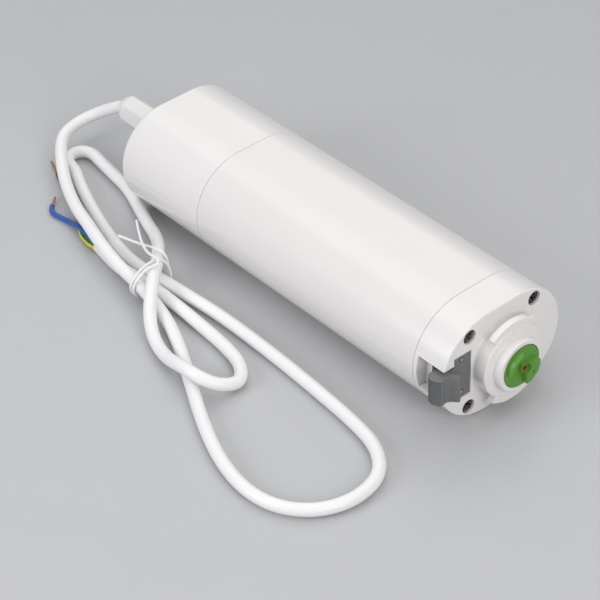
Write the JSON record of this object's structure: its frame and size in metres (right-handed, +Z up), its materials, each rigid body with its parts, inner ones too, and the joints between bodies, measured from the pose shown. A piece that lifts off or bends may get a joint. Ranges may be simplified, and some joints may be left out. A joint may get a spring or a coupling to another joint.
{
  "type": "curtain motor",
  "caption": "Tubular curtain motor with a flat-sided white housing, bayonet boss with a green drive coupling, side latch and a tied mains cord.",
  "frame": {"origin": "centre of the flat side it rests on, below the middle of the housing's length", "axes": "+X along the motor axis towards the output coupling, +Y away from the latch's side, +Z up from the resting side"},
  "size_m": [0.3032, 0.1565, 0.0521],
  "materials": {
    "white_paint": "gloss",
    "white_plastic": "gloss",
    "screw_steel": "black zinc",
    "white_nylon": "satin",
    "black_rubber": "matte",
    "grey_plastic": "satin",
    "bright_steel": "ground",
    "green_plastic": "satin",
    "copper_screw": "satin",
    "sintered_bronze": "matte",
    "black_plastic": "matte",
    "gear_steel": "machined",
    "brass_gear": "machined",
    "motor_steel": "zinc plated",
    "magnet_black": "sintered",
    "copper_wire": "drawn",
    "green_board": "solder mask",
    "yellow_tape": "tape",
    "lead_red": "satin",
    "white_cord": "satin",
    "wire_brown": "satin",
    "wire_earth": "green and yellow stripes",
    "wire_blue": "satin"
  },
  "bodies": {
    "housing": {"board_tray": "black_plastic", "bulk_capacitor": "black_plastic", "cap_screws": "screw_steel", "cord": "white_cord", "encoder_board": "green_board", "gearbox_plate": "gear_steel", "gland_body": "white_nylon", "gland_locknut": "white_nylon", "gland_nut": "white_nylon", "gland_seal": "black_rubber", "inner_cord": "white_cord", "inner_leads": "lead_red", "latch_pins": "bright_steel", "latch_springs": "bright_steel", "motor_bearings": "sintered_bronze", "motor_brushes": "magnet_black", "motor_can": "motor_steel", "motor_cradle": "black_plastic", "motor_end_bell": "black_plastic", "motor_leads": "lead_red", "motor_magnets": "magnet_black", "output_bush": "sintered_bronze", "output_cap": "white_plastic", "power_board": "green_board", "radio_board": "green_board", "rear_cap": "white_plastic", "rear_screws": "screw_steel", "ring_gear": "black_plastic", "terminal_block": "green_plastic", "transformer_coil": "yellow_tape", "transformer_core": "magnet_black", "tube": "white_paint", "twist_tie": "white_cord", "wire_blue": "wire_blue", "wire_brown": "wire_brown", "wire_earth": "wire_earth", "wire_tips": "copper_wire"},
    "latch": {"latch_slider": "grey_plastic"},
    "output": {"coupling": "green_plastic", "coupling_screw": "copper_screw", "output_carrier": "gear_steel", "output_planet_pins": "bright_steel"},
    "input_stage": {"input_carrier": "gear_steel", "input_planet_pins": "bright_steel"},
    "rotor": {"motor_pinion": "brass_gear", "armature": "motor_steel", "armature_windings": "copper_wire", "motor_shaft": "bright_steel", "commutator": "copper_wire", "encoder_magnet": "magnet_black"},
    "output_planet_1": {"output_planet_1": "gear_steel"},
    "input_planet_1": {"input_planet_1": "black_plastic"},
    "output_planet_2": {"output_planet_2": "gear_steel"},
    "input_planet_2": {"input_planet_2": "black_plastic"},
    "output_planet_3": {"output_planet_3": "gear_steel"},
    "input_planet_3": {"input_planet_3": "black_plastic"}
  },
  "joints": [
    {"name": "latch_slide", "type": "slide", "parent": "housing", "child": "latch", "axis": [1, 0, 0], "range_m": [-0.005, 0], "stiffness_N_per_m": 300, "springref_m": 0.003, "deforming": ["latch_springs"]},
    {"name": "output_spin", "type": "hinge", "parent": "housing", "child": "output", "pos_m": [0.11, 0, 0.026], "axis": [1, 0, 0], "continuous": true},
    {"name": "input_spin", "type": "hinge", "parent": "housing", "child": "input_stage", "pos_m": [0.075, 0, 0.026], "axis": [1, 0, 0], "continuous": true},
    {"name": "rotor_spin", "type": "hinge", "parent": "housing", "child": "rotor", "pos_m": [0.03, 0, 0.026], "axis": [1, 0, 0], "continuous": true},
    {"name": "output_planet_1_spin", "type": "hinge", "parent": "output", "child": "output_planet_1", "pos_m": [0.08, 0.012, 0.026], "axis": [1, 0, 0], "continuous": true},
    {"name": "output_planet_2_spin", "type": "hinge", "parent": "output", "child": "output_planet_2", "pos_m": [0.08, -0.006, 0.03639], "axis": [1, 0, 0], "continuous": true},
    {"name": "output_planet_3_spin", "type": "hinge", "parent": "output", "child": "output_planet_3", "pos_m": [0.08, -0.006, 0.01561], "axis": [1, 0, 0], "continuous": true},
    {"name": "input_planet_1_spin", "type": "hinge", "parent": "input_stage", "child": "input_planet_1", "pos_m": [0.068, 0.012, 0.026], "axis": [1, 0, 0], "continuous": true},
    {"name": "input_planet_2_spin", "type": "hinge", "parent": "input_stage", "child": "input_planet_2", "pos_m": [0.068, -0.006, 0.03639], "axis": [1, 0, 0], "continuous": true},
    {"name": "input_planet_3_spin", "type": "hinge", "parent": "input_stage", "child": "input_planet_3", "pos_m": [0.068, -0.006, 0.01561], "axis": [1, 0, 0], "continuous": true}
  ],
  "couplings": [
    {"joint": "input_spin", "follows": "output_spin", "ratio": 5},
    {"joint": "rotor_spin", "follows": "output_spin", "ratio": 25},
    {"joint": "output_planet_1_spin", "follows": "output_spin", "ratio": -2.6667},
    {"joint": "output_planet_2_spin", "follows": "output_spin", "ratio": -2.6667},
    {"joint": "output_planet_3_spin", "follows": "output_spin", "ratio": -2.6667},
    {"joint": "input_planet_1_spin", "follows": "output_spin", "ratio": -13.333},
    {"joint": "input_planet_2_spin", "follows": "output_spin", "ratio": -13.333},
    {"joint": "input_planet_3_spin", "follows": "output_spin", "ratio": -13.333}
  ]
}
